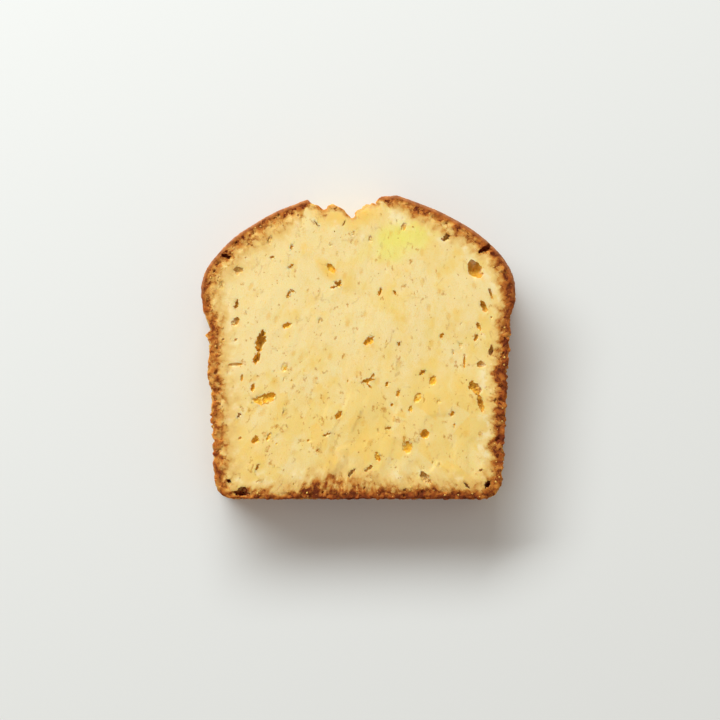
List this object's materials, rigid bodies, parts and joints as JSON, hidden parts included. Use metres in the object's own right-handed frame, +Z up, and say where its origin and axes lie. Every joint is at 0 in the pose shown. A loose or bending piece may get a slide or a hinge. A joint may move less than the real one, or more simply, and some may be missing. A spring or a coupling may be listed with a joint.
{
  "type": "rum cake slice",
  "caption": "Slice of golden loaf cake with an open crumb, browned crust and a split, domed top, lying flat on its cut face.",
  "frame": {"origin": "middle of the slice's bounding box seen from above, on the cut face that it rests on", "axes": "+X across the loaf, +Y from the base crust towards the domed top, +Z up, out of the upper cut face"},
  "size_m": [0.1002, 0.0968, 0.018],
  "materials": {
    "cake": "matte, open crumb with a browned crust"
  },
  "bodies": {
    "root": {"cake_slice": "cake"}
  },
  "joints": []
}
